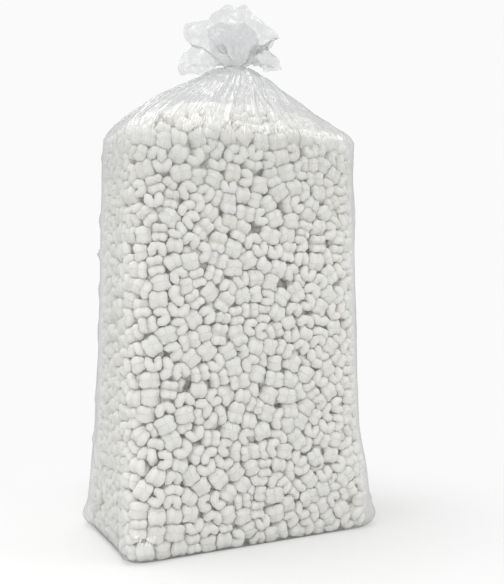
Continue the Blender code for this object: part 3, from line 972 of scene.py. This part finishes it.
# %% Node helper
def add_node(tree, kind, settings=None, links=None):
    """Adds a shader node, sets its inputs or properties, and links sockets into its inputs."""
    node = tree.nodes.new("ShaderNode" + kind)
    for name, value in (settings or {}).items():
        if isinstance(name, str) and hasattr(node, name) and name not in node.inputs:
            setattr(node, name, value)
        else:
            node.inputs[name].default_value = value
    for name, socket in (links or {}).items():
        tree.links.new(socket, node.inputs[name])
    return node


def new_material(name):
    material = bpy.data.materials.new(name)
    material.use_nodes = True
    material.node_tree.nodes.clear()
    return material, material.node_tree


# %% Foam
BEADS_PER_METRE = 620.0  # beads are 1 to 2 mm wide
BEAD_RELIEF = 0.00018
CUT_DEPTH, CUT_REACH = 0.0014, 0.0022


def foam_cuts(tree):
    """1 on the two sharp grooves that cross on each back, left by the cutter and the fold."""
    on_curl = add_node(tree, "Attribute", {"attribute_name": "on_curl"})
    apart = add_node(tree, "SeparateXYZ", None, {0: on_curl.outputs["Vector"]})
    near = []
    for axis in ("X", "Y"):
        off = add_node(tree, "Math", {"operation": "ABSOLUTE"}, {0: apart.outputs[axis]})
        fall = {"interpolation_type": "SMOOTHSTEP", "From Max": CUT_REACH, "To Min": 1.0, "To Max": 0.0}
        near.append(add_node(tree, "MapRange", fall, {"Value": off.outputs[0]}).outputs["Result"])
    return add_node(tree, "Math", {"operation": "MAXIMUM"}, {0: near[0], 1: near[1]}).outputs[0]


def foam_material():
    material, tree = new_material("expanded_foam_matt")
    where = add_node(tree, "TexCoord").outputs["Object"]
    beads = add_node(tree, "TexVoronoi", {"Scale": BEADS_PER_METRE}, {"Vector": where})
    sunk = add_node(tree, "Math", {"operation": "MULTIPLY", 1: -CUT_DEPTH}, {0: foam_cuts(tree)})
    pits = {0: beads.outputs["Distance"], 2: sunk.outputs[0]}
    grain = add_node(tree, "Math", {"operation": "MULTIPLY_ADD", 1: BEAD_RELIEF}, pits)
    bump = add_node(tree, "Bump", {"Strength": 0.8, "Distance": 1.0}, {"Height": grain.outputs[0]})
    # No two grains are quite the same white.
    tint = add_node(tree, "Attribute", {"attribute_name": "tint"})
    whites = {"data_type": "RGBA", 6: linear("#F6F3EC"), 7: linear("#FCF9F2")}
    shade = add_node(tree, "Mix", whites, {"Factor": tint.outputs["Fac"]})
    soft_matt = {
        "Roughness": 0.85,
        "IOR": 1.45,
        "Specular IOR Level": 0.25,
        "Subsurface Weight": 1.0,
        "Subsurface Scale": 0.012,
        "Subsurface Radius": (1.0, 1.0, 1.0),
    }
    surface = {"Base Color": shade.outputs[2], "Normal": bump.outputs["Normal"]}
    shader = add_node(tree, "BsdfPrincipled", soft_matt, surface)
    add_node(tree, "OutputMaterial", None, {"Surface": shader.outputs[0]})
    return material


foam = foam_material()
for piece in foam_pieces:
    piece.data.materials.clear()
    piece.data.materials.append(foam)
print("foam on", len(foam_pieces), "pieces")

# %% [markdown]
# ## Film material
#
# Bag film is low-density polyethylene, blown to a tube a twentieth of a millimetre thin: it is seen
# mostly by its glints and by a little milky haze. Real refraction through so thin a sheet bends
# nothing, so it is a see-through surface, mixed with haze and with a gloss that grows towards the
# edges. Fine creases follow the sheet's own length, as the gathers draw it.


# %% Film: creases and haze
CREASES = (85.0, 5.0, 1.0)  # round the sheet and along it
CRUSHED_PER_METRE = 42.0  # hand-made creases lie 1 to 2 cm apart, in every direction
FILM_RELIEF = 0.0065


def film_creases(tree, where):
    """Fine drawn lines that follow the sheet, so they run together at the neck."""
    stretch = add_node(tree, "Mapping", {"Scale": CREASES}, {"Vector": where.outputs["UV"]})
    grain = {"Scale": 1.0, "Detail": 3.0, "Roughness": 0.6}
    return add_node(tree, "TexNoise", grain, {"Vector": stretch.outputs["Vector"]}).outputs["Fac"]


def film_relief(tree, where, creases, gather):
    """The normal of the drawn lines and, in the crown, of crushed creases."""
    drawn = add_node(tree, "Math", {"operation": "MULTIPLY"}, {0: creases, 1: gather})
    grain = {"Scale": CRUSHED_PER_METRE, "Detail": 2.0, "Roughness": 0.5}
    crushed = add_node(tree, "TexNoise", grain, {"Vector": where.outputs["Object"]})
    # Folded over at its middle value, the noise has a sharp crease there.
    halved = add_node(tree, "Math", {"operation": "SUBTRACT", 1: 0.5}, {0: crushed.outputs["Fac"]})
    sharp = add_node(tree, "Math", {"operation": "ABSOLUTE"}, {0: halved.outputs[0]})
    crumple = add_node(tree, "Attribute", {"attribute_name": "crumple"})
    both = {0: sharp.outputs[0], 1: crumple.outputs["Fac"], 2: drawn.outputs[0]}
    height = add_node(tree, "Math", {"operation": "MULTIPLY_ADD"}, both)
    depth = {"Strength": 1.0, "Distance": FILM_RELIEF}
    return add_node(tree, "Bump", depth, {"Height": height.outputs[0]}).outputs["Normal"]


def film_haze(tree, creases, gather):
    """Share of milky light: where gathers overlap there is more film, so it is streaked there."""
    amount = add_node(tree, "Attribute", {"attribute_name": "milk"})
    spread = {"From Min": 0.35, "From Max": 0.65, "To Min": -0.32, "To Max": 0.36}
    streak = add_node(tree, "MapRange", spread, {"Value": creases})
    doubled = {0: streak.outputs["Result"], 1: gather}
    layers_here = add_node(tree, "Math", {"operation": "MULTIPLY_ADD", 2: 1.0}, doubled)
    factors = {0: amount.outputs["Fac"], 1: layers_here.outputs[0]}
    return add_node(tree, "Math", {"operation": "MULTIPLY"}, factors).outputs[0]


# %% Film: the whole material
EDGE_POWER = 4.0  # how narrow the film's greyer, glossier edges are
EDGE_MIRROR = 0.30
GATHER_MIRROR, LEAST_MIRROR = 0.08, 0.012  # film that lies on the peanuts hardly shines


def film_material():
    material, tree = new_material("blown_polyethylene_film")
    where = add_node(tree, "TexCoord")
    gather = add_node(tree, "Attribute", {"attribute_name": "gather"}).outputs["Fac"]
    creases = film_creases(tree, where)
    relief = {"Normal": film_relief(tree, where, creases, gather)}
    facing = add_node(tree, "LayerWeight", {"Blend": 0.5}).outputs["Facing"]
    steep = add_node(tree, "Math", {"operation": "POWER", 1: EDGE_POWER}, {0: facing}).outputs[0]
    # Seen along the sheet there is more film to look through, so its edges are greyer.
    greys = {"data_type": "RGBA", 6: linear("#F6F6F6"), 7: linear("#C2C5C6")}
    depth = add_node(tree, "Mix", greys, {"Factor": steep})
    clear = add_node(tree, "BsdfTransparent", None, {"Color": depth.outputs[2]})
    # The haze shows from both sides: lit from behind, and lit from in front.
    through = add_node(tree, "BsdfTranslucent", {"Color": linear("#CCCECF")})
    front = add_node(tree, "BsdfDiffuse", {"Color": linear("#CCCECF")}, relief)
    milk = add_node(tree, "MixShader", {"Fac": 0.5}, {1: through.outputs[0], 2: front.outputs[0]})
    haze = film_haze(tree, creases, gather)
    body = add_node(
        tree, "MixShader", None, {0: haze, 1: clear.outputs[0], 2: milk.outputs[0]}
    )
    gloss = add_node(tree, "BsdfAnisotropic", {"Roughness": 0.10, "Color": linear("#FFFFFF")}, relief)
    scaled = {"operation": "MULTIPLY_ADD", 1: GATHER_MIRROR, 2: LEAST_MIRROR}
    shine = add_node(tree, "Math", scaled, {0: gather}).outputs[0]
    scaled = {"operation": "MULTIPLY_ADD", 1: EDGE_MIRROR}
    mirror = add_node(tree, "Math", scaled, {0: steep, 2: shine}).outputs[0]
    whole = add_node(tree, "MixShader", None, {0: mirror, 1: body.outputs[0], 2: gloss.outputs[0]})
    add_node(tree, "OutputMaterial", None, {"Surface": whole.outputs[0]})
    return material


film.data.materials.clear()
film.data.materials.append(film_material())
print("film material nodes:", len(film.data.materials[0].node_tree.nodes))

# %% [markdown]
# ## Stand-ins
#
# Each piece rides with the root body, and the CAD nodes that the pieces stand for are
# hidden.

# %% Rides and replacements
for piece in foam_pieces:
    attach(piece, "root")
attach(film, "root")
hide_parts("bag_film")
loose_peanuts = [f"peanut_{number:02d}" for number in range(1, 13)]
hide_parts(*loose_peanuts)
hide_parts("peanut_heap")

# %% [markdown]
# ## Floor and light
#
# The photograph was made on white paper under soft light. The floor is pale and plain and keeps only
# the bag's soft shadow. Three soft lamps, the strongest over the bag's left, and an even sky light it
# at a plain level.


# %% Floor
BACKDROP = linear("#FAFAFA")
SHADOW_FROM, SHADOW_TO = 0.32, 0.75  # metres from the bag's middle over which its shadow fades out
FLOOR_RADIUS = 6.0
FLOOR_GAP = 0.0006


def seen_directly(tree):
    """1 for rays from the camera, off gloss and through clear things, and 0 for light on surfaces."""
    path = add_node(tree, "LightPath").outputs
    shown = path["Is Camera Ray"]
    for kind in ("Is Glossy Ray", "Is Transmission Ray"):
        shown = add_node(tree, "Math", {"operation": "MAXIMUM"}, {0: shown, 1: path[kind]}).outputs[0]
    return shown


def stage_material():
    """Near the bag the floor shows the shadow; further out it is the colour of the backdrop."""
    material, tree = new_material("pale_floor")
    where = add_node(tree, "TexCoord").outputs["Object"]
    far = add_node(tree, "VectorMath", {"operation": "LENGTH"}, {0: where}).outputs["Value"]
    reach = {"interpolation_type": "SMOOTHSTEP", "From Min": SHADOW_FROM, "From Max": SHADOW_TO}
    fade = add_node(tree, "MapRange", reach, {"Value": far})
    bounce = add_node(tree, "BsdfDiffuse", {"Color": linear("#D8D8D8")})
    shadowed = add_node(tree, "BsdfDiffuse", {"Color": linear("#C8C8C8")})
    glow = add_node(tree, "Emission", {"Color": BACKDROP, "Strength": 0.18})
    near = add_node(tree, "AddShader", None, {0: shadowed.outputs[0], 1: glow.outputs[0]})
    plain = add_node(tree, "Emission", {"Color": BACKDROP, "Strength": 1.0})
    shown = add_node(
        tree, "MixShader", None, {0: fade.outputs[0], 1: near.outputs[0], 2: plain.outputs[0]}
    )
    lit = add_node(
        tree, "MixShader", None, {0: seen_directly(tree), 1: bounce.outputs[0], 2: shown.outputs[0]}
    )
    add_node(tree, "OutputMaterial", None, {"Surface": lit.outputs[0]})
    return material


deselect_all()
bpy.ops.mesh.primitive_circle_add(
    vertices=96, radius=FLOOR_RADIUS, fill_type="NGON", location=(0, 0, -FLOOR_GAP)
)
floor = bpy.context.object
floor.name = "floor"
floor.data.materials.append(stage_material())

# %% Sky
world = bpy.data.worlds.new("even_sky")
bpy.context.scene.world = world
world.use_nodes = True
tree = world.node_tree
tree.nodes.clear()
sky = add_node(tree, "Background", {"Color": (1, 1, 1, 1), "Strength": 0.98})
backdrop = add_node(tree, "Background", {"Color": BACKDROP, "Strength": 1.0})
both = add_node(
    tree, "MixShader", None, {0: seen_directly(tree), 1: sky.outputs[0], 2: backdrop.outputs[0]}
)
add_node(tree, "OutputWorld", None, {"Surface": both.outputs[0]})

# %% Lamps
LAMP_TARGET = (0.0, 0.0, 0.45)
# Each lamp is (name, place, size, watts).
LAMPS = (
    ("key", (-0.62, 0.22, 2.3), (1.3, 1.3), 20),
    ("front", (-0.9, -2.0, 1.9), (1.5, 1.3), 17.5),
    ("side", (1.7, -1.3, 2.0), (0.8, 0.8), 8),
)
for name, place, size, watts in LAMPS:
    light = bpy.data.lights.new(name, "AREA")
    light.shape = "RECTANGLE"
    light.size, light.size_y = size
    light.energy = watts
    lamp = bpy.data.objects.new(name, light)
    bpy.context.scene.collection.objects.link(lamp)
    lamp.location = place
    lamp.rotation_mode = "QUATERNION"
    lamp.rotation_quaternion = (Vector(LAMP_TARGET) - Vector(place)).to_track_quat("-Z", "Y")
print("lamps:", sum(lamp[3] for lamp in LAMPS), "W")

# %% [markdown]
# ## Camera
#
# The photograph was taken from the bag's front left, a little below its middle. The foot's two edges
# and the shoulder line run to a common horizon, which gives the lens, the height and the turn.

# %% Place the camera
CAMERA_TURN = math.radians(26.4)
CAMERA_DISTANCE = 1.371
CAMERA_ASIDE = 0.0385
CAMERA_HEIGHT = 0.425
FOCAL_PIXELS, FRAME_PIXELS, SENSOR = 818.0, 584.0, 36.0
HORIZON_ABOVE_MIDDLE = 20.0
camera_data = bpy.data.cameras.new("camera")
camera_data.sensor_width = SENSOR
camera_data.lens = FOCAL_PIXELS / FRAME_PIXELS * SENSOR
camera = bpy.data.objects.new("camera", camera_data)
bpy.context.scene.collection.objects.link(camera)
bpy.context.scene.camera = camera
ahead = (math.sin(CAMERA_TURN), math.cos(CAMERA_TURN))
aside = (math.cos(CAMERA_TURN), -math.sin(CAMERA_TURN))
camera.location = (
    -CAMERA_DISTANCE * ahead[0] + CAMERA_ASIDE * aside[0],
    -CAMERA_DISTANCE * ahead[1] + CAMERA_ASIDE * aside[1],
    CAMERA_HEIGHT,
)
pitch = math.atan(HORIZON_ABOVE_MIDDLE / FOCAL_PIXELS)
camera.rotation_euler = (math.pi / 2 - pitch, 0.0, -CAMERA_TURN)
print("lens:", round(camera_data.lens, 1), "mm")

# %% View settings
bpy.context.scene.view_settings.view_transform = "Standard"
